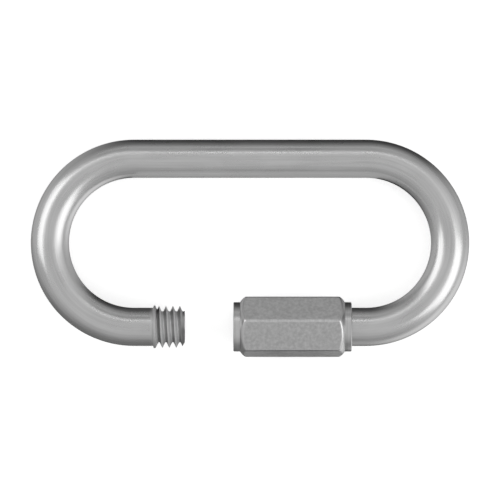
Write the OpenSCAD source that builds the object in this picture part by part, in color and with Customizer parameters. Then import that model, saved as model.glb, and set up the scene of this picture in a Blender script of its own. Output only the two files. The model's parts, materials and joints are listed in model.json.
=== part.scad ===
// Chain quick link: a steel rod bent into a long loop with a mouth in one limb,
// and a hexagonal sleeve nut that runs along the thread to bridge the mouth.
// The link frame has its origin in the middle of the loop. X runs along the limbs, Y across them
// with the plain limb at +Y, and Z out of the plane of the loop. Lengths are in millimetres.

/* [Rod] */
// Diameter of the steel rod
rod_d = 5.5; // [4:0.1:8]
// Clear width between the two limbs
inside_w = 18.7; // [14:0.1:30]
// Mouth between the tip of the short stub and the opened nut
mouth_w = 7; // [4:0.1:15]
// Straight rod between the left bow and the stop bead on the stub
stub_plain_l = 2.75; // [1:0.05:8]
// Straight rod left bare between the opened nut and the right bow
limb_bare_l = 2.1; // [1:0.1:8]

/* [Thread] */
// Advance of the thread in one turn
thread_pitch = 1; // [0.8:0.05:1.25]
// Depth of the thread from crest to root
thread_depth = 0.77; // [0.5:0.01:0.9]
// Height of the rolled crests above the rod
crest_rise = 0.25; // [0.1:0.01:0.4]
// Threaded length of the stub, from the stop bead to the tip
stub_thread_l = 4.13; // [3:0.01:8]
// Length of the chamfer at a threaded tip
tip_chamfer_l = 0.45; // [0.2:0.05:0.8]
// Height of the stop bead above the rod
bead_rise = 0.32; // [0.1:0.01:0.5]
// Width of the stop bead
bead_w = 0.44; // [0.3:0.01:0.8]

/* [Sleeve nut] */
// Length of the hexagonal part
hex_l = 15.1; // [8:0.1:25]
// Wall between the bore and a hexagon flat
flat_wall = 0.95; // [0.7:0.05:2]
// Length of the turned collar at each end
collar_l = 0.95; // [0.5:0.05:2]
// Wall of the collars
collar_wall = 0.5; // [0.35:0.01:0.7]
// Bevel around the outer edge of each collar
collar_bevel = 0.1; // [0.05:0.01:0.15]
// Length that the turned crown at each end takes off a corner of the hexagon
corner_cut = 0.7; // [0.4:0.05:1]
// Bevel at the mouths of the bore
mouth_bevel = 0.2; // [0.1:0.01:0.3]
// Turn of the hexagon's top corner away from the normal of the loop
nut_turn = 12.9; // [0:0.1:25]
// Radial clearance of the bore over the thread crests
bore_clearance = 0.05; // [0.03:0.01:0.1]
// Depth of the long limb's tip inside the opened nut
tip_recess = 0.8; // [0.3:0.1:2]
// Depth inside the opened nut at which the long limb's thread runs out
runout_recess = 1.5; // [1:0.1:3]

/* [Hidden] */
$fn = 96;
steel = "#a6a6a6";
nut_steel = "#9c9c9c";

// Radii of the rod and of its rolled thread
rod_r = rod_d / 2;
crest_r = rod_r + crest_rise;
root_r = crest_r - thread_depth;

// Radii of the nut
bore_r = crest_r + bore_clearance;
collar_r = bore_r + collar_wall;
flat_r = bore_r + flat_wall;
corner_r = flat_r / cos(30);
nut_l = hex_l + 2 * collar_l;

// Places along the limbs, in the link frame
bend_r = (inside_w + rod_d) / 2;
straight_l = stub_plain_l + bead_w + stub_thread_l + mouth_w + nut_l + limb_bare_l;
bow_x = straight_l / 2;
bead_x = -bow_x + stub_plain_l;
stub_thread_x = bead_x + bead_w;
stub_tip_x = stub_thread_x + stub_thread_l;
nut_x = stub_tip_x + mouth_w;
limb_tip_x = nut_x + tip_recess;
limb_runout_x = nut_x + nut_l - runout_recess;

// Both threads follow one helix, so that the nut can run from one limb onto the other.
// A crest faces +Y at this x and at every pitch from it.
crest_x = stub_thread_x + 0.42 * thread_pitch;
facets_per_turn = 30;
// A tool cuts past the solid that it trims by this much
past = 1;

// The link lies on a table, on the lowest corner of the nut and on the plain limb.
corner_reach = [2 * bend_r + corner_r * sin(nut_turn), corner_r * cos(nut_turn)];
tilt = atan2(corner_reach.y, corner_reach.x) - asin(rod_r / norm(corner_reach));
lift = rod_r + bend_r * sin(tilt);
nut_reach = max([for (k = [0:5]) corner_r * cos(90 - nut_turn - tilt + 60 * k)]);
shift = (nut_reach - rod_r) / 2;

// Moves the link frame onto the table: Z up from the table, origin under the middle of the box
module laid()
{
    translate([0, shift, lift]) rotate([-tilt, 0, 0]) children();
}

// Solid of revolution about X, from an outline of [x, radius] points
module turned(outline)
{
    rotate([0, 90, 0]) rotate_extrude() polygon([for (p = outline) [p.y, p.x]]);
}

// Straight rod along X between two places
module rod(from_x, to_x)
{
    translate([from_x, 0, 0]) rotate([0, 90, 0]) cylinder(r = rod_r, h = to_x - from_x);
}

// Half ring that joins the two limbs, at the side of +X or of -X
module bow(side)
{
    translate([side * bow_x, 0, 0])
        rotate([0, 0, -90 * side])
            rotate_extrude(angle = 180) translate([bend_r, 0]) circle(r = rod_r);
}

// Screw solid about X with a sharp V thread, reaching at least from from_x to to_x.
// Its skin is a strip of crest and root lines that climb one pitch in a turn,
// so the last column of a turn joins the first one two lines further on.
module screw(from_x, to_x)
{
    start_x = crest_x + thread_pitch * (floor((from_x - crest_x) / thread_pitch) - 1.5);
    turns = ceil((to_x - start_x) / thread_pitch) + 1;
    lines = 2 * turns;
    last = facets_per_turn - 1;
    function skin_point(column, line) =
        let (a = 360 * column / facets_per_turn, r = line % 2 == 0 ? root_r : crest_r)
            [start_x + thread_pitch * (line / 2 + column / facets_per_turn), r * cos(a), r * sin(a)];
    function at(column, line) =
        column > last ? at(0, line + 2) : column * (lines + 1) + line;
    low_hub = facets_per_turn * (lines + 1);
    high_hub = low_hub + 1;
    polyhedron(
        points = [
            for (column = [0:last], line = [0:lines]) skin_point(column, line),
            [start_x + thread_pitch / 2, 0, 0],
            [start_x + thread_pitch * (turns + 0.5), 0, 0]
        ],
        faces = [
            for (column = [0:last], line = [0:lines - (column < last ? 1 : 3)])
                each [
                    [at(column, line), at(column, line + 1), at(column + 1, line + 1)],
                    [at(column, line), at(column + 1, line + 1), at(column + 1, line)]
                ],
            for (column = [0:last]) [low_hub, at(column, 0), at(column + 1, 0)],
            for (line = [0:1]) [low_hub, at(0, line + 1), at(0, line)],
            for (column = [0:last - 1]) [high_hub, at(column + 1, lines), at(column, lines)],
            for (line = [lines - 2:lines - 1]) [high_hub, at(last, line), at(last, line + 1)],
            [high_hub, at(0, lines), at(last, lines - 2)]
        ]
    );
}

// Threaded end from a root inside the rod to a chamfered tip, which points to +X or -X
module threaded_end(root_x, runout_x, tip_x)
{
    way = sign(tip_x - root_x);
    taper = past * tip_chamfer_l / thread_depth;
    intersection() {
        screw(min(root_x, tip_x), max(root_x, tip_x));
        turned([
            [root_x, 0],
            [root_x, root_r],
            [runout_x, crest_r],
            [runout_x + way * past, crest_r + past],
            [tip_x - way * (tip_chamfer_l + taper), crest_r + past],
            [tip_x, root_r],
            [tip_x, 0]
        ]);
    }
}

// Ring that the rolling leaves at the root of the stub's thread, where the closed nut stops
module stop_bead()
{
    turned([
        [bead_x, 0],
        for (a = [180:-30:0]) [bead_x + bead_w / 2 * (1 + cos(a)), rod_r + bead_rise * sin(a)],
        [bead_x + bead_w, 0]
    ]);
}

// One rod, bent into the loop and threaded at both ends
module link_body()
{
    color(steel) laid() {
        translate([0, bend_r, 0]) rod(-bow_x, bow_x);
        bow(-1);
        bow(1);
        translate([0, -bend_r, 0]) {
            rod(-bow_x, bead_x + bead_w / 2);
            stop_bead();
            threaded_end(bead_x + bead_w / 2, bead_x + bead_w / 2, stub_tip_x);
            rod(limb_runout_x, bow_x);
            threaded_end(limb_runout_x + thread_depth, limb_runout_x, limb_tip_x);
        }
    }
}

// Hexagon bar along +X from its left end, with both ends turned to a crown that takes the corners off
module hex_barrel()
{
    crown_r = norm([hex_l / 2 - corner_cut, corner_r]);
    intersection() {
        rotate([0, 90, 0]) rotate([0, 0, -nut_turn]) cylinder(r = corner_r, h = hex_l, $fn = 6);
        translate([hex_l / 2, 0, 0]) rotate([0, 90, 0]) sphere(r = crown_r);
    }
}

// Bore of the nut, bevelled at both mouths, along +X from the nut's left face
module nut_bore()
{
    turned([
        [-past, 0],
        [-past, bore_r + mouth_bevel + past],
        [mouth_bevel, bore_r],
        [nut_l - mouth_bevel, bore_r],
        [nut_l + past, bore_r + mouth_bevel + past],
        [nut_l + past, 0]
    ]);
}

// One hexagonal sleeve with a turned collar at each end, drawn in its opened place
module sleeve_nut()
{
    color(nut_steel) laid() translate([nut_x, -bend_r, 0]) difference() {
        union() {
            translate([collar_l, 0, 0]) hex_barrel();
            turned([
                [0, 0],
                [0, collar_r - collar_bevel],
                [collar_bevel, collar_r],
                [nut_l - collar_bevel, collar_r],
                [nut_l, collar_r - collar_bevel],
                [nut_l, 0]
            ]);
        }
        nut_bore();
    }
}

link_body();
sleeve_nut();
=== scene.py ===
import json
import math
from functools import partial

import bmesh
import bpy
from mathutils import Matrix, Vector


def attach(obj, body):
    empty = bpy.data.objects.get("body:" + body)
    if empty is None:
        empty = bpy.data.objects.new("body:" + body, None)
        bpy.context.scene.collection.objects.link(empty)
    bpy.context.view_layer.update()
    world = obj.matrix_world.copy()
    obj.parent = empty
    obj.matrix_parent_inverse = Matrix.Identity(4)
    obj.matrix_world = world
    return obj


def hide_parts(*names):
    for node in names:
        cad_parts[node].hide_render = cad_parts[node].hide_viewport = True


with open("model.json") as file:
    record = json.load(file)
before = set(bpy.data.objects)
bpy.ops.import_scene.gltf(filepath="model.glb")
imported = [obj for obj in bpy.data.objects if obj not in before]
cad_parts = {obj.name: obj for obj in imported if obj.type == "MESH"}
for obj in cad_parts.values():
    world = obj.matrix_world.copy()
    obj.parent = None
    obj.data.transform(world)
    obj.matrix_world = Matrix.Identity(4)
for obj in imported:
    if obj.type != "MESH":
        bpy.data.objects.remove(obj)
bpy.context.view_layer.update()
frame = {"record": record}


# The link body is a single length of drawn stainless wire. A thread is rolled onto both of its ends,
# which leaves a raised bead where the short one stops, and the wire is then bent cold round two pins
# into a long loop, so that its threaded ends face each other across the mouth.
mm = 0.001
wire_r = 2.75 * mm
bend_r = 12.1 * mm
bow_x = 16.71 * mm
bead_x = -13.96 * mm
bead_w = 0.44 * mm
bead_rise = 0.32 * mm
stub_tip_x = -9.39 * mm
limb_tip_x = -1.59 * mm
limb_runout_x = 13.11 * mm
runout_l = 0.77 * mm
thread_pitch = 1.0 * mm
thread_crest_x = -13.1 * mm
thread_crest_r = 3.0 * mm
thread_root_r = 2.23 * mm
tip_chamfer_l = 0.45 * mm
skin_columns = 96

# Length of wire from the middle of the plain limb to the bead, beyond which it is rolled
rolled_from = bow_x + math.pi * bend_r + bow_x + bead_x

# The frame's two bow mounts face each other across the middle of the loop. The loop lies tilted about X,
# with its plain limb on the table.
bow_places = {mount["name"]: Vector(mount["pos_m"]) for mount in frame["record"]["mounts"]}
loop_centre = (bow_places["left_bow"] + bow_places["right_bow"]) / 2
loop_tilt = math.asin((loop_centre.z - wire_r) / bend_r)


def feed(tree, node, feeds):
    """Feeds a node's inputs, each with a value or with another node's output."""
    for key, value in feeds.items():
        if isinstance(value, bpy.types.NodeSocket):
            tree.links.new(value, node.inputs[key])
        else:
            node.inputs[key].default_value = value


def add_node(tree, kind, feeds=None, **settings):
    """Adds a node with its settings and feeds its inputs."""
    node = tree.nodes.new(kind)
    for name, value in settings.items():
        setattr(node, name, value)
    feed(tree, node, feeds or {})
    return node


def calc(tree, operation, *terms):
    """One step of arithmetic in a node tree."""
    return add_node(tree, "ShaderNodeMath", dict(enumerate(terms)), operation=operation).outputs[0]


def vector_of(tree, x, y, z):
    """Puts three values together as a vector in a node tree."""
    return add_node(tree, "ShaderNodeCombineXYZ", {"X": x, "Y": y, "Z": z}).outputs[0]


def remap(tree, value, low, high, to_low, to_high, blend="LINEAR"):
    """Maps a value from one range to another in a node tree, held at the ends."""
    feeds = {"Value": value, "From Min": low, "From Max": high, "To Min": to_low, "To Max": to_high}
    return add_node(tree, "ShaderNodeMapRange", feeds, interpolation_type=blend).outputs[0]


def flat_grid(tree, columns, rows):
    """A flat grid of so many columns and rows, with the column and the row of each of its points."""
    do = partial(calc, tree)
    feeds = {
        "Size X": 1.0,
        "Size Y": 1.0,
        "Vertices X": do("ADD", columns, 1.0),
        "Vertices Y": do("ADD", rows, 1.0),
    }
    grid = add_node(tree, "GeometryNodeMeshGrid", feeds).outputs["Mesh"]
    position = tree.nodes.new("GeometryNodeInputPosition").outputs[0]
    flat = add_node(tree, "ShaderNodeSeparateXYZ", {0: position}).outputs
    column = do("ROUND", do("MULTIPLY", do("ADD", flat["X"], 0.5), columns))
    row = do("ROUND", do("MULTIPLY", do("ADD", flat["Y"], 0.5), rows))
    return grid, column, row


def start_tree(name, inputs, outputs):
    """Opens a geometry node tree with named inputs and outputs."""
    tree = bpy.data.node_groups.new(name, "GeometryNodeTree")
    for label, kind in inputs:
        tree.interface.new_socket(label, in_out="INPUT", socket_type="NodeSocket" + kind)
    for label, kind in outputs:
        tree.interface.new_socket(label, in_out="OUTPUT", socket_type="NodeSocket" + kind)
    return tree, tree.nodes.new("NodeGroupInput").outputs, tree.nodes.new("NodeGroupOutput").inputs


def screw_skin_tree():
    """A sheet for the skin of a screw about X. Its rows climb one pitch in a turn, so that they follow the
    crests, and stop at the two end planes. It gives each point's place along the axis, angle and radius, and
    its flank: over 0 on the one that faces +X, and below 0 on the other. The crests are nearly sharp and the
    roots are round, as a rolled thread's are."""
    crest_half = 0.022
    flank_share = 0.353
    root_rounding = 0.35
    spare_turns = 2.0
    just_over_a_row = 1.01
    tree, size, out = start_tree(
        "screw_skin",
        [
            ("From", "Float"),
            ("To", "Float"),
            ("Pitch", "Float"),
            ("Crest At", "Float"),
            ("Crest Radius", "Float"),
            ("Root Radius", "Float"),
            ("First Angle", "Float"),
            ("Columns", "Int"),
            ("Rows Per Turn", "Int"),
        ],
        [
            ("Sheet", "Geometry"),
            ("Along", "Float"),
            ("Angle", "Float"),
            ("Radius", "Float"),
            ("Flank", "Float"),
            ("Past From", "Float"),
            ("Past To", "Float"),
        ],
    )
    do = partial(calc, tree)
    row_step = do("DIVIDE", size["Pitch"], size["Rows Per Turn"])
    first_turn = do("DIVIDE", size["First Angle"], math.tau)
    crest = do("MULTIPLY_ADD", size["Pitch"], first_turn, size["Crest At"])
    whole_turns = do("FLOOR", do("DIVIDE", do("SUBTRACT", size["From"], crest), size["Pitch"]))
    start = do("MULTIPLY_ADD", size["Pitch"], do("SUBTRACT", whole_turns, spare_turns), crest)
    start = do("MULTIPLY_ADD", row_step, 0.5, start)
    turns = do("CEIL", do("DIVIDE", do("SUBTRACT", size["To"], start), size["Pitch"]))
    rows = do("MULTIPLY", do("ADD", turns, 1.0), size["Rows Per Turn"])
    grid, column, row = flat_grid(tree, size["Columns"], rows)
    share = do("DIVIDE", column, size["Columns"])
    line = do("MULTIPLY_ADD", row, row_step, start)
    line = do("MULTIPLY_ADD", share, size["Pitch"], line)
    along = do("MINIMUM", do("MAXIMUM", line, size["From"]), size["To"])
    turn = do("SUBTRACT", do("DIVIDE", do("SUBTRACT", along, crest), size["Pitch"]), share)
    off_crest = do("PINGPONG", turn, 0.5)
    flank = do("DIVIDE", do("MAXIMUM", do("SUBTRACT", off_crest, crest_half), 0.0), flank_share)
    flank = do("SMOOTH_MIN", flank, 1.0, root_rounding)
    depth = do("SUBTRACT", size["Root Radius"], size["Crest Radius"])
    tree.links.new(grid, out["Sheet"])
    tree.links.new(along, out["Along"])
    tree.links.new(do("MULTIPLY_ADD", share, math.tau, size["First Angle"]), out["Angle"])
    tree.links.new(do("MULTIPLY_ADD", flank, depth, size["Crest Radius"]), out["Radius"])
    tree.links.new(do("WRAP", turn, 0.5, -0.5), out["Flank"])
    one_row = do("MULTIPLY", row_step, just_over_a_row)
    tree.links.new(do("LESS_THAN", line, do("SUBTRACT", size["From"], one_row)), out["Past From"])
    tree.links.new(do("GREATER_THAN", line, do("ADD", size["To"], one_row)), out["Past To"])
    return tree


screw_skin = screw_skin_tree()


def finish_tree(tree, sheets, out, material):
    """Joins the sheets of a piece into one closed skin, lays it on the table and gives it its metal."""
    weld_distance = 0.001 * mm
    crisp_angle = math.radians(38)
    joined = add_node(tree, "GeometryNodeJoinGeometry")
    for sheet in reversed(sheets):
        tree.links.new(sheet, joined.inputs[0])
    closed = add_node(
        tree, "GeometryNodeMergeByDistance", {"Geometry": joined.outputs[0], "Distance": weld_distance}
    )
    smooth = add_node(tree, "GeometryNodeSetShadeSmooth", {"Geometry": closed.outputs[0]}, domain="FACE")
    fold = tree.nodes.new("GeometryNodeInputMeshEdgeAngle").outputs["Unsigned Angle"]
    crisp = add_node(
        tree,
        "GeometryNodeSetShadeSmooth",
        {
            "Geometry": smooth.outputs[0],
            "Selection": calc(tree, "GREATER_THAN", fold, crisp_angle),
            "Shade Smooth": False,
        },
        domain="EDGE",
    )
    lying = add_node(
        tree,
        "GeometryNodeTransform",
        {
            "Geometry": crisp.outputs[0],
            "Translation": loop_centre,
            "Rotation": (-loop_tilt, 0.0, 0.0),
        },
    )
    real = add_node(tree, "GeometryNodeRealizeInstances", {"Geometry": lying.outputs[0]})
    dressed = add_node(
        tree, "GeometryNodeSetMaterial", {"Geometry": real.outputs[0], "Material": material}
    )
    tree.links.new(dressed.outputs[0], out)


def run_tree(name, tree, sizes, mesh=None):
    """Runs a node tree with its sizes and keeps the result as a plain mesh with outward faces."""
    piece = bpy.data.objects.new(name, mesh or bpy.data.meshes.new(name))
    shape = piece.modifiers.new("shape", "NODES")
    shape.node_group = tree
    for item in tree.interface.items_tree:
        if item.in_out == "INPUT" and item.name in sizes:
            shape[item.identifier] = sizes[item.name]
    bpy.context.scene.collection.objects.link(piece)
    ready = piece.evaluated_get(bpy.context.evaluated_depsgraph_get())
    plain = bpy.data.meshes.new_from_object(ready)
    piece.modifiers.remove(shape)
    piece.data = plain
    plain.name = name
    skin = bmesh.new()
    skin.from_mesh(plain)
    bmesh.ops.recalc_face_normals(skin, faces=skin.faces)
    skin.to_mesh(plain)
    skin.free()
    return piece


def screw_sheet(tree, sizes):
    """Places one screw skin in a tree and returns its outputs."""
    return add_node(tree, "GeometryNodeGroup", sizes, node_tree=screw_skin).outputs


def noted_sheet(tree, sheet, name, value, kind):
    """Notes a value of each point of a sheet under a name, for the metal to read."""
    return add_node(
        tree,
        "GeometryNodeStoreNamedAttribute",
        {"Geometry": sheet, "Name": name, "Value": value},
        data_type=kind,
        domain="POINT",
    ).outputs[0]


def placed_sheet(tree, sheet, straight, position):
    """Notes where each point lay on the straight wire, then moves the sheet to its place."""
    noted = noted_sheet(tree, sheet, "straight_wire", straight, "FLOAT_VECTOR")
    return add_node(
        tree, "GeometryNodeSetPosition", {"Geometry": noted, "Position": position}
    ).outputs[0]


def link_body_tree(material):
    """The whole wire: two threaded ends, and the plain wire between them bent along the loop."""
    run_out_slope = 1.5
    run_out_rounding = 0.15 * mm
    chamfer_rounding = 0.15 * mm
    painted_dark_lead = 0.8
    bead_lead = 0.05 * mm
    bead_top_share = 0.5
    stub_rows = 32
    limb_rows = 20
    wire_steps = 240
    tree, size, out = start_tree(
        "bent_threaded_wire",
        [
            ("Wire Radius", "Float"),
            ("Bend Radius", "Float"),
            ("Bow X", "Float"),
            ("Bead X", "Float"),
            ("Bead Width", "Float"),
            ("Bead Rise", "Float"),
            ("Stub Tip X", "Float"),
            ("Limb Tip X", "Float"),
            ("Limb Runout X", "Float"),
            ("Runout Length", "Float"),
            ("Tip Chamfer", "Float"),
            ("Pitch", "Float"),
            ("Crest At", "Float"),
            ("Crest Radius", "Float"),
            ("Root Radius", "Float"),
            ("Columns", "Int"),
        ],
        [("Wire", "Geometry")],
    )
    do = partial(calc, tree)
    half_bow = do("MULTIPLY", size["Bend Radius"], math.pi)
    to_lower_limb = do("ADD", size["Bow X"], half_bow)
    chamfer_slope = do(
        "DIVIDE", do("SUBTRACT", size["Crest Radius"], size["Root Radius"]), size["Tip Chamfer"]
    )

    def on_lower_limb(along, angle, radius, wire_place):
        """Place of a skin point on the lower limb, and where it lay on the straight wire."""
        across = do("MULTIPLY", radius, do("COSINE", angle))
        out_of_loop = do("MULTIPLY", radius, do("SINE", angle))
        straight = vector_of(tree, wire_place, do("MULTIPLY", across, -1.0), out_of_loop)
        position = vector_of(tree, along, do("SUBTRACT", across, size["Bend Radius"]), out_of_loop)
        return straight, position

    # The stub: wire, bead, thread and chamfered tip
    stub_from = do("SUBTRACT", size["Bead X"], bead_lead)
    stub = screw_sheet(
        tree,
        {
            "From": stub_from,
            "To": size["Stub Tip X"],
            "Pitch": size["Pitch"],
            "Crest At": size["Crest At"],
            "Crest Radius": size["Crest Radius"],
            "Root Radius": size["Root Radius"],
            "Columns": size["Columns"],
            "Rows Per Turn": stub_rows,
        },
    )
    half_bead = do("MULTIPLY", size["Bead Width"], 0.5)
    off_bead = do(
        "DIVIDE", do("SUBTRACT", stub["Along"], do("ADD", size["Bead X"], half_bead)), half_bead
    )
    bead_top = do("ADD", size["Wire Radius"], size["Bead Rise"])
    bead_r = remap(
        tree,
        do("ABSOLUTE", off_bead),
        bead_top_share,
        1.0,
        bead_top,
        size["Wire Radius"],
        "SMOOTHSTEP",
    )
    past_bead = do("SUBTRACT", stub["Along"], do("ADD", size["Bead X"], size["Bead Width"]))
    run_out = do("MULTIPLY_ADD", do("MAXIMUM", past_bead, 0.0), -run_out_slope, bead_r)
    after = do("SMOOTH_MAX", stub["Radius"], run_out, run_out_rounding)
    is_after = do("GREATER_THAN", off_bead, 0.0)
    stub_r = do("MULTIPLY_ADD", is_after, do("SUBTRACT", after, bead_r), bead_r)
    to_tip = do("SUBTRACT", size["Stub Tip X"], stub["Along"])
    stub_cone = do("MULTIPLY_ADD", to_tip, chamfer_slope, size["Root Radius"])
    stub_r = do("SMOOTH_MIN", stub_r, stub_cone, chamfer_rounding)
    stub_r = do("MULTIPLY", stub_r, do("SUBTRACT", 1.0, stub["Past To"]))
    stub_wire = do("SUBTRACT", do("MULTIPLY", to_lower_limb, -1.0), do("ADD", stub["Along"], size["Bow X"]))
    # Near the stub's tip every flank counts as facing away from it, so the last flank gets the painted-dark
    # grey as painted shade
    past_lead = do("SUBTRACT", do("DIVIDE", to_tip, size["Pitch"]), painted_dark_lead)
    stub_side = do("MINIMUM", stub["Flank"], past_lead)
    stub_sheet = placed_sheet(
        tree,
        noted_sheet(tree, stub["Sheet"], "tip_side", stub_side, "FLOAT"),
        *on_lower_limb(stub["Along"], stub["Angle"], stub_r, stub_wire),
    )

    # The long limb: chamfered tip, thread, and run-out into the plain wire
    limb_to = do("ADD", size["Limb Runout X"], size["Runout Length"])
    limb = screw_sheet(
        tree,
        {
            "From": size["Limb Tip X"],
            "To": limb_to,
            "Pitch": size["Pitch"],
            "Crest At": size["Crest At"],
            "Crest Radius": size["Crest Radius"],
            "Root Radius": size["Root Radius"],
            "Columns": size["Columns"],
            "Rows Per Turn": limb_rows,
        },
    )
    fade = do("DIVIDE", do("SUBTRACT", limb_to, limb["Along"]), size["Runout Length"])
    fade = do("MINIMUM", fade, 1.0)
    limb_r = do("SUBTRACT", limb["Radius"], size["Wire Radius"])
    limb_r = do("MULTIPLY_ADD", limb_r, fade, size["Wire Radius"])
    from_tip = do("SUBTRACT", limb["Along"], size["Limb Tip X"])
    limb_cone = do("MULTIPLY_ADD", from_tip, chamfer_slope, size["Root Radius"])
    limb_r = do("SMOOTH_MIN", limb_r, limb_cone, chamfer_rounding)
    limb_r = do("MULTIPLY", limb_r, do("SUBTRACT", 1.0, limb["Past From"]))
    limb_wire = do("ADD", to_lower_limb, do("SUBTRACT", size["Bow X"], limb["Along"]))
    limb_side = do("MULTIPLY", limb["Flank"], -1.0)
    limb_sheet = placed_sheet(
        tree,
        noted_sheet(tree, limb["Sheet"], "tip_side", limb_side, "FLOAT"),
        *on_lower_limb(limb["Along"], limb["Angle"], limb_r, limb_wire),
    )

    # The plain wire between them, by its length from the middle of the plain limb
    wire_from = do("SUBTRACT", do("MULTIPLY", to_lower_limb, -1.0), do("ADD", stub_from, size["Bow X"]))
    wire_to = do("ADD", to_lower_limb, do("SUBTRACT", size["Bow X"], limb_to))
    grid, column, step = flat_grid(tree, size["Columns"], wire_steps)
    around = do("MULTIPLY", do("DIVIDE", column, size["Columns"]), math.tau)
    wire_share = do("DIVIDE", step, wire_steps)
    wire_place = do("MULTIPLY_ADD", wire_share, do("SUBTRACT", wire_to, wire_from), wire_from)
    away = do("ABSOLUTE", wire_place)
    side = do("SIGN", wire_place)
    bend = do("DIVIDE", do("SUBTRACT", away, size["Bow X"]), size["Bend Radius"])
    bend = do("MINIMUM", do("MAXIMUM", bend, 0.0), math.pi)
    back = do("MAXIMUM", do("SUBTRACT", away, to_lower_limb), 0.0)
    reach = do("MULTIPLY_ADD", size["Bend Radius"], do("SINE", bend), do("MINIMUM", away, size["Bow X"]))
    outward = do("MULTIPLY", size["Wire Radius"], do("COSINE", around))
    out_of_loop = do("MULTIPLY", size["Wire Radius"], do("SINE", around))
    reach = do("MULTIPLY_ADD", outward, do("SINE", bend), do("SUBTRACT", reach, back))
    across = do("MULTIPLY", do("ADD", size["Bend Radius"], outward), do("COSINE", bend))
    wire_sheet = placed_sheet(
        tree,
        grid,
        vector_of(tree, wire_place, outward, out_of_loop),
        vector_of(tree, do("MULTIPLY", side, reach), across, out_of_loop),
    )
    finish_tree(tree, [stub_sheet, wire_sheet, limb_sheet], out["Wire"], material)
    return tree


def noise(tree, place, scale, detail):
    """A cloud of grey around 0.5, stretched by its scale in blobs per metre along each axis."""
    stretched = add_node(tree, "ShaderNodeMapping", {"Vector": place, "Scale": scale}).outputs[0]
    feeds = {"Vector": stretched, "Scale": 1.0, "Detail": detail, "Roughness": 0.55}
    return add_node(tree, "ShaderNodeTexNoise", feeds).outputs[0]


def spread(tree, cloud, low, high):
    """Spreads the middle of a noise, where nearly all of it lies, over a range of values."""
    return remap(tree, cloud, 0.3, 0.7, low, high)


def steel(name, grey, roughness, height, relief):
    """A bare steel with a grey, a roughness and a fine relief that nodes of its own tree give."""
    material = bpy.data.materials.new(name)
    material.use_nodes = True
    tree = material.node_tree
    tone = add_node(tree, "ShaderNodeCombineColor", dict.fromkeys(("Red", "Green", "Blue"), grey(tree)))
    bump = add_node(tree, "ShaderNodeBump", {"Height": height(tree), "Strength": 0.3, "Distance": relief})
    finish = {
        "Metallic": 1.0,
        "Specular Tint": (0.6, 0.6, 0.6, 1.0),
        "Base Color": tone.outputs[0],
        "Roughness": roughness(tree),
        "Normal": bump.outputs[0],
    }
    feed(tree, tree.nodes["Principled BSDF"], finish)
    return material


def drawn_wire_steel():
    """Satin wire with fine lines along the drawing direction, a dull bead and a thread whose grey is painted
    brighter than the wire's. The flanks that face away from a tip take the chain's pull, so the nut has
    rubbed them smooth; their darker grey is painted shade, and the lighter grey of the flanks that face a
    tip is painted light."""

    def wire_place(tree):
        return add_node(tree, "ShaderNodeAttribute", attribute_name="straight_wire").outputs["Vector"]

    def drawn_lines(tree):
        return noise(tree, wire_place(tree), (90.0, 3600.0, 3600.0), 3.0)

    def blotches(tree):
        return noise(tree, wire_place(tree), (160.0, 420.0, 420.0), 3.0)

    def by_place(tree, plain, bead, thread):
        along = add_node(tree, "ShaderNodeSeparateXYZ", {0: wire_place(tree)}).outputs["X"]
        away = calc(tree, "ABSOLUTE", along)
        rolled_to = rolled_from + bead_w
        before_thread = remap(tree, away, rolled_from - bead_w, rolled_from, plain, bead)
        return remap(tree, away, rolled_to - bead_w / 4, rolled_to, before_thread, thread)

    def flank(tree, rubbed_and_painted_dark, fresh_and_painted_light):
        half_edge = 0.03
        tip_side = add_node(tree, "ShaderNodeAttribute", attribute_name="tip_side").outputs["Fac"]
        # Painted shade and light: flanks that face away from a tip take the first, painted-dark value,
        # flanks that face a tip the second, painted-light value
        return remap(tree, tip_side, -half_edge, half_edge, rubbed_and_painted_dark, fresh_and_painted_light)

    def grey(tree):
        lined = spread(tree, drawn_lines(tree), 0.54, 0.62)
        clouded = spread(tree, blotches(tree), 0.96, 1.04)
        # The thread's greys are painted: darker on flanks that face away from a tip as painted shade,
        # lighter on those that face it as painted light
        metal = by_place(tree, lined, bead=0.58, thread=flank(tree, rubbed_and_painted_dark=0.5, fresh_and_painted_light=0.84))
        return calc(tree, "MULTIPLY", metal, clouded)

    def roughness(tree):
        satin = spread(tree, blotches(tree), 0.24, 0.33)
        return by_place(tree, satin, bead=0.6, thread=flank(tree, rubbed_and_painted_dark=0.3, fresh_and_painted_light=0.7))

    return steel("drawn_stainless_wire", grey, roughness, drawn_lines, relief=0.003 * mm)


link_body = run_tree(
    "link_wire",
    link_body_tree(drawn_wire_steel()),
    {
        "Wire Radius": wire_r,
        "Bend Radius": bend_r,
        "Bow X": bow_x,
        "Bead X": bead_x,
        "Bead Width": bead_w,
        "Bead Rise": bead_rise,
        "Stub Tip X": stub_tip_x,
        "Limb Tip X": limb_tip_x,
        "Limb Runout X": limb_runout_x,
        "Runout Length": runout_l,
        "Tip Chamfer": tip_chamfer_l,
        "Pitch": thread_pitch,
        "Crest At": thread_crest_x,
        "Crest Radius": thread_crest_r,
        "Root Radius": thread_root_r,
        "Columns": skin_columns,
    },
)
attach(link_body, "link")
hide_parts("link_body")


# The sleeve nut is cut from hexagonal stainless bar. Both ends are turned to a crown and a short collar,
# and the bore is tapped right through, with a plain relief at the inner end that clears the bare wire.
# It is tumbled, so that its flats are matt and its edges slightly round.
nut_x = -2.39 * mm
nut_l = 17.0 * mm
collar_l = 0.95 * mm
flat_r = 4.0 * mm
corner_angle = math.radians(77.1)
corner_rounding = 0.4 * mm
crown_l = 1.5 * mm
crown_slope = math.tan(math.radians(56))
crown_rounding = 0.6 * mm
burnish_depth = 0.02 * mm
collar_r = 3.55 * mm
collar_bevel = 0.1 * mm
mouth_r = 3.25 * mm
thread_play = 0.08 * mm
tapped_r = 2.55 * mm
relief_r = 3.05 * mm
relief_l = 1.9 * mm


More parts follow.
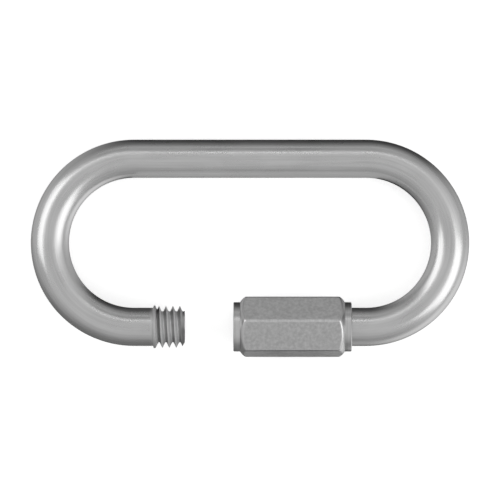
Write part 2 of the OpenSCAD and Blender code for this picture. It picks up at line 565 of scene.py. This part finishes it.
def soft_min(a, b, rounding):
    """The lesser of two values, eased over a rounding where they cross."""
    share = max(rounding - abs(a - b), 0.0) / rounding
    return min(a, b) - share**3 * rounding / 6


def nut_outside():
    """The outer skin of the nut about its axis, from the rim of one mouth to the rim of the other. Its flats
    and crowns run into each other in round edges. The layer burnished is 0 on the flats, and 1 on the round
    edges and the turned ends."""
    columns = 2 * skin_columns
    crown_steps = 15
    skin = bmesh.new()
    burnished = skin.verts.layers.float.new("burnished")

    def add_point(along, radius, angle, burnish):
        point = skin.verts.new(
            (nut_x + along, radius * math.cos(angle) - bend_r, radius * math.sin(angle))
        )
        point[burnished] = burnish
        return point

    def hexagon(turn):
        """Sharp and worn radius of the hexagon, at an angle from a corner."""
        side = math.radians(60)
        beside = turn % side
        one = flat_r / math.cos(beside - side / 2)
        other_turn = -beside if beside < side / 2 else 2 * side - beside
        other = flat_r / math.cos(other_turn - side / 2)
        return one, soft_min(one, other, corner_rounding)

    def half_outline(turn):
        """Place, radius and burnish of each point from the rim of a mouth to the end of the crown."""
        sharp, worn = hexagon(turn)
        outline = [(0.0, collar_r - collar_bevel, 1.0), (collar_bevel, collar_r, 1.0)]
        for step in range(crown_steps + 1):
            along = crown_l * step / crown_steps
            radius = soft_min(worn, collar_r + crown_slope * along, crown_rounding)
            outline.append((collar_l + along, radius, min((sharp - radius) / burnish_depth, 1.0)))
        return outline

    strips = []
    for column in range(columns):
        turn = math.tau * column / columns
        half = half_outline(turn)
        whole = half + [(nut_l - along, radius, burnish) for along, radius, burnish in reversed(half)]
        strip = []
        for along, radius, burnish in whole:
            strip.append(add_point(along, radius, corner_angle + turn, burnish))
        strips.append(strip)
    for column in range(columns):
        here, beside = strips[column], strips[(column + 1) % columns]
        for step in range(len(here) - 1):
            skin.faces.new((here[step], here[step + 1], beside[step + 1], beside[step]))
    for along, end in ((0.0, 0), (nut_l, -1)):
        rim = [
            add_point(along, mouth_r, corner_angle + math.tau * column / skin_columns, 1.0)
            for column in range(skin_columns)
        ]
        for column in range(skin_columns):
            first, middle = strips[2 * column][end], strips[2 * column + 1][end]
            last = strips[(2 * column + 2) % columns][end]
            here, beside = rim[column], rim[(column + 1) % skin_columns]
            skin.faces.new((first, middle, here))
            skin.faces.new((middle, beside, here))
            skin.faces.new((middle, last, beside))
    mesh = bpy.data.meshes.new("nut_outside")
    skin.to_mesh(mesh)
    skin.free()
    return mesh


def tapped_nut_tree(material):
    """Closes the nut's outer skin with its tapped bore."""
    bore_rows = 24
    tree, size, out = start_tree(
        "tapped_bore",
        [
            ("Outside", "Geometry"),
            ("From", "Float"),
            ("To", "Float"),
            ("Axis Y", "Float"),
            ("Mouth Radius", "Float"),
            ("Relief Radius", "Float"),
            ("Relief Length", "Float"),
            ("Tapped Radius", "Float"),
            ("Play", "Float"),
            ("Pitch", "Float"),
            ("Crest At", "Float"),
            ("Crest Radius", "Float"),
            ("Root Radius", "Float"),
            ("First Angle", "Float"),
            ("Columns", "Int"),
        ],
        [("Nut", "Geometry")],
    )
    do = partial(calc, tree)
    bore = screw_sheet(
        tree,
        {
            "From": size["From"],
            "To": size["To"],
            "Pitch": size["Pitch"],
            "Crest At": size["Crest At"],
            "Crest Radius": do("ADD", size["Crest Radius"], size["Play"]),
            "Root Radius": do("ADD", size["Root Radius"], size["Play"]),
            "First Angle": size["First Angle"],
            "Columns": size["Columns"],
            "Rows Per Turn": bore_rows,
        },
    )
    radius = do("MAXIMUM", bore["Radius"], size["Tapped Radius"])
    inward = do("SUBTRACT", bore["Along"], size["From"])
    to_end = do("SUBTRACT", size["To"], bore["Along"])
    radius = do("MAXIMUM", radius, do("SUBTRACT", size["Mouth Radius"], inward))
    radius = do("MAXIMUM", radius, do("SUBTRACT", size["Mouth Radius"], to_end))
    before_relief = do("MAXIMUM", do("SUBTRACT", to_end, size["Relief Length"]), 0.0)
    radius = do("MAXIMUM", radius, do("SUBTRACT", size["Relief Radius"], before_relief))
    across = do("MULTIPLY", radius, do("COSINE", bore["Angle"]))
    out_of_loop = do("MULTIPLY", radius, do("SINE", bore["Angle"]))
    bore_sheet = placed_sheet(
        tree,
        bore["Sheet"],
        vector_of(tree, bore["Along"], across, out_of_loop),
        vector_of(tree, bore["Along"], do("ADD", across, size["Axis Y"]), out_of_loop),
    )
    finish_tree(tree, [size["Outside"], bore_sheet], out["Nut"], material)
    return tree


def tumbled_bar_steel():
    """Tumbled bar with matt dimpled flats, and with brighter ends and edges that show fine turning lines."""

    def bar_place(tree):
        return tree.nodes.new("ShaderNodeTexCoord").outputs["Object"]

    def dimples(tree):
        return noise(tree, bar_place(tree), (2300.0, 2300.0, 2300.0), 3.0)

    def blotches(tree):
        return noise(tree, bar_place(tree), (500.0, 500.0, 500.0), 2.0)

    def burnished(tree, matt, bright):
        share = add_node(tree, "ShaderNodeAttribute", attribute_name="burnished").outputs["Fac"]
        return remap(tree, share, 0.0, 1.0, matt, bright)

    def turning_lines(tree):
        return noise(tree, bar_place(tree), (3600.0, 60.0, 60.0), 2.0)

    def grey(tree):
        dimpled = spread(tree, dimples(tree), 0.51, 0.63)
        turned = spread(tree, turning_lines(tree), 0.5, 0.64)
        clouded = spread(tree, blotches(tree), 0.96, 1.04)
        return calc(tree, "MULTIPLY", burnished(tree, matt=dimpled, bright=turned), clouded)

    def roughness(tree):
        return burnished(tree, matt=spread(tree, blotches(tree), 0.78, 0.88), bright=0.3)

    def height(tree):
        return burnished(tree, matt=dimples(tree), bright=turning_lines(tree))

    return steel("tumbled_stainless_bar", grey, roughness, height, relief=0.02 * mm)


sleeve_nut = run_tree(
    "hex_sleeve_nut",
    tapped_nut_tree(tumbled_bar_steel()),
    {
        "From": nut_x,
        "To": nut_x + nut_l,
        "Axis Y": -bend_r,
        "Mouth Radius": mouth_r,
        "Relief Radius": relief_r,
        "Relief Length": relief_l,
        "Tapped Radius": tapped_r,
        "Play": thread_play,
        "Pitch": thread_pitch,
        "Crest At": thread_crest_x,
        "Crest Radius": thread_crest_r,
        "Root Radius": thread_root_r,
        "First Angle": corner_angle,
        "Columns": skin_columns,
    },
    nut_outside(),
)
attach(sleeve_nut, "nut")
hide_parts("sleeve_nut")


# The table is a wide sheet of matt white board, lit so evenly that it looks white all over, and the link
# lies on it. The metal doesn't mirror the board: the lower half of the room stands in for it.
floor_half = 1.5
white = (1.0, 1.0, 1.0, 1.0)


def stage_sheet(name, corners, material_name, finish):
    """A flat sheet with four corners, and with a finish given as values of its shader's inputs."""
    mesh = bpy.data.meshes.new(name)
    mesh.from_pydata(corners, [], [(0, 1, 2, 3)])
    material = bpy.data.materials.new(material_name)
    material.use_nodes = True
    feed(material.node_tree, material.node_tree.nodes["Principled BSDF"], finish)
    mesh.materials.append(material)
    sheet = bpy.data.objects.new(name, mesh)
    bpy.context.scene.collection.objects.link(sheet)
    return sheet


floor = stage_sheet(
    "table_board",
    [
        (-floor_half, -floor_half, 0.0),
        (floor_half, -floor_half, 0.0),
        (floor_half, floor_half, 0.0),
        (-floor_half, floor_half, 0.0),
    ],
    "matt_white_board",
    {
        "Base Color": (0.92, 0.92, 0.92, 1.0),
        "Roughness": 0.9,
        "Specular IOR Level": 0.1,
        "Emission Color": white,
        "Emission Strength": 0.5,
    },
)
floor.visible_glossy = False


# Three cards lean up from the table and glow for the metal alone to mirror: painted reflections. The two dim
# ones, in front of the stub and of the nut, are painted shade on what faces them. The light one, inside the
# loop, is a painted light that keeps the nut's dark side out of the plain limb's reflection.
front_foot_y = -13 * mm
front_head_y = -55 * mm
black = (0.0, 0.0, 0.0, 1.0)


def painted_reflection_card(name, left_x, right_x, foot_y, head_y, head_z, grey):
    """A card from its foot on the table to its raised edge, which is nearer the front. It glows with a grey
    from above, a painted reflection of shade or light, and shows nothing from below."""
    left, right = loop_centre.x + left_x, loop_centre.x + right_x
    foot, head = loop_centre.y + foot_y, loop_centre.y + head_y
    sheet = stage_sheet(
        name,
        [(left, head, head_z), (right, head, head_z), (right, foot, 0.0), (left, foot, 0.0)],
        name,
        {
            "Base Color": black,
            "Specular IOR Level": 0.0,
            "Emission Color": white,
            "Emission Strength": grey,
        },
    )
    tree = sheet.active_material.node_tree
    from_below = tree.nodes.new("ShaderNodeNewGeometry").outputs["Backfacing"]
    feed(tree, tree.nodes["Principled BSDF"], {"Alpha": calc(tree, "SUBTRACT", 1.0, from_below)})
    sheet.visible_camera = False
    sheet.visible_diffuse = False
    sheet.visible_shadow = False


# The two dim cards are painted shade that only the metal mirrors
painted_reflection_card("stub_painted_shade_card", -45 * mm, 1 * mm, front_foot_y, front_head_y, head_z=10 * mm, grey=0.27)
painted_reflection_card("nut_painted_shade_card", 1 * mm, 14 * mm, front_foot_y, front_head_y, head_z=15 * mm, grey=0.1)
# The light card glows as a painted light that only the plain limb mirrors
painted_reflection_card("limb_painted_light_card", -17 * mm, 18 * mm, foot_y=8.5 * mm, head_y=-6 * mm, head_z=7.7 * mm, grey=0.6)


# The light is a pale room with soft lights. Its far wall, beyond the plain limb, is dark and gives the wire
# its dark upper edge. A patch low at the front right is lit, and two corners are unlit: low at the front
# left, and at the far left.
bpy.context.scene.view_settings.view_transform = "Standard"
room = bpy.data.worlds.new("pale_room")
room.use_nodes = True
bpy.context.scene.world = room
room_tree = room.node_tree

# Each wall is a list of heights and greys, from straight down at 0 to straight up at 1
near_wall = [(0.0, 0.0), (0.09, 0.05), (0.22, 0.52), (0.45, 0.48), (0.58, 0.37), (0.75, 0.52), (0.9, 0.65)]
side_wall = [(0.0, 0.5), (0.1, 0.65), (0.25, 0.66), (0.45, 0.64), (0.58, 0.6), (0.75, 0.56), (0.9, 0.68)]
far_wall = [(0.0, 0.05), (0.2, 0.07), (0.45, 0.28), (0.55, 0.43), (0.62, 0.49), (0.73, 0.35), (0.9, 0.68)]
side_wall_bearing = -15
backdrop = (0.85, 0.85, 0.85, 1.0)


def wall_greys(height, greys):
    """The grey of a wall at a height."""
    ramp = add_node(room_tree, "ShaderNodeValToRGB", {"Fac": height})
    ramp.color_ramp.interpolation = "EASE"
    while len(ramp.color_ramp.elements) < len(greys):
        ramp.color_ramp.elements.new(1.0)
    for stop, (at, grey) in zip(ramp.color_ramp.elements, greys):
        stop.position = at
        stop.color = (grey, grey, grey, 1.0)
    return ramp.outputs["Color"]


def facing(outward, bearing, rise):
    """How straight a way out of the room faces a bearing from +X and a rise above the horizon, up to 1."""
    flat = math.cos(math.radians(rise))
    aim = (
        flat * math.cos(math.radians(bearing)),
        flat * math.sin(math.radians(bearing)),
        math.sin(math.radians(rise)),
    )
    feeds = {0: outward, 1: aim}
    return add_node(room_tree, "ShaderNodeVectorMath", feeds, operation="DOT_PRODUCT").outputs["Value"]


def eased(value, low, high, top=1.0):
    """Rises softly from 0 to a top while a value goes from low to high."""
    return remap(room_tree, value, low, high, 0.0, top, "SMOOTHSTEP")


def mixed(share, one, other, blend="MIX"):
    """Mixes two colours of the room, which are inputs 6 and 7 of a mix node, and its output 2."""
    feeds = {"Factor": share, 6: one, 7: other}
    return add_node(room_tree, "ShaderNodeMix", feeds, data_type="RGBA", blend_type=blend).outputs[2]


outward = room_tree.nodes.new("ShaderNodeTexCoord").outputs["Generated"]
way = add_node(room_tree, "ShaderNodeSeparateXYZ", {0: outward}).outputs
level = vector_of(room_tree, way["X"], way["Y"], 0.0)
level = add_node(room_tree, "ShaderNodeVectorMath", {0: level}, operation="NORMALIZE").outputs[0]
height = remap(room_tree, way["Z"], -1.0, 1.0, 0.0, 1.0)
far_share = eased(way["Y"], 0.05, 0.6)
walls = mixed(far_share, wall_greys(height, near_wall), wall_greys(height, far_wall))
sideways = calc(room_tree, "ABSOLUTE", facing(level, side_wall_bearing, rise=0))
walls = mixed(eased(sideways, 0.3, 0.9), walls, wall_greys(height, side_wall))
lit_patch = eased(facing(outward, bearing=-45, rise=-34), 0.7, 1.0, top=0.5)
walls = mixed(1.0, walls, lit_patch, "ADD")
for bearing, rise, shade in ((-140, -32, 0.4), (118, -8, 0.3)):
    unlit_corner = eased(facing(outward, bearing, rise), 0.75, 1.0, top=shade)
    walls = mixed(unlit_corner, walls, black)
to_camera = room_tree.nodes.new("ShaderNodeLightPath").outputs["Is Camera Ray"]
feed(room_tree, room_tree.nodes["Background"], {"Color": mixed(to_camera, walls, backdrop)})


def softbox(name, off_vertical, bearing, size_x, size_y, radiance):
    """A flat soft light that faces the loop, at an angle from the vertical and a bearing from +X."""
    distance = 0.5
    light = bpy.data.lights.new(name, "AREA")
    light.shape = "RECTANGLE"
    light.size = size_x
    light.size_y = size_y
    light.energy = radiance * math.pi * size_x * size_y
    lamp = bpy.data.objects.new(name, light)
    bpy.context.scene.collection.objects.link(lamp)
    lean, heading = math.radians(off_vertical), math.radians(bearing)
    away = Vector(
        (math.sin(lean) * math.cos(heading), math.sin(lean) * math.sin(heading), math.cos(lean))
    )
    side = Vector((-math.sin(heading), math.cos(heading), 0.0))
    up = away.cross(side)
    turned = Matrix((side, up, away)).transposed().to_4x4()
    lamp.matrix_world = Matrix.Translation(loop_centre + away * distance) @ turned
    lamp.visible_camera = False


softbox("left_softbox", off_vertical=59, bearing=162, size_x=0.39, size_y=0.32, radiance=1.28)
softbox("right_softbox", off_vertical=52.5, bearing=-18, size_x=0.35, size_y=0.42, radiance=1.15)
softbox("right_fill", off_vertical=58, bearing=12, size_x=0.8, size_y=0.4, radiance=0.2)
softbox("far_strip", off_vertical=42, bearing=97, size_x=0.64, size_y=0.026, radiance=1.75)
softbox("low_far_strip", off_vertical=77, bearing=90, size_x=0.5, size_y=0.05, radiance=0.35)


# The camera looks straight down on the plane of the loop through a long lens, as the photograph does. It
# stands off so far that the link has the photograph's size, a little above the middle of the frame.
frame_px = 500
px_per_mm = 6.945
lens_mm = 300
sensor_mm = 36
below_middle_px = 7.2
farthest_seen = 20
camera_data = bpy.data.cameras.new("main_camera")
camera_data.lens = lens_mm
camera_data.sensor_width = sensor_mm
camera_data.clip_end = farthest_seen
camera = bpy.data.objects.new("main_camera", camera_data)
bpy.context.scene.collection.objects.link(camera)
lay = Matrix.Rotation(-loop_tilt, 3, "X")
loop_up, loop_normal = lay @ Vector((0, 1, 0)), lay @ Vector((0, 0, 1))
stand_off = lens_mm / sensor_mm * frame_px / px_per_mm * mm
aim = loop_centre - loop_up * (below_middle_px / px_per_mm * mm)
camera.matrix_world = Matrix.Translation(aim + loop_normal * stand_off) @ lay.to_4x4()
bpy.context.scene.camera = camera
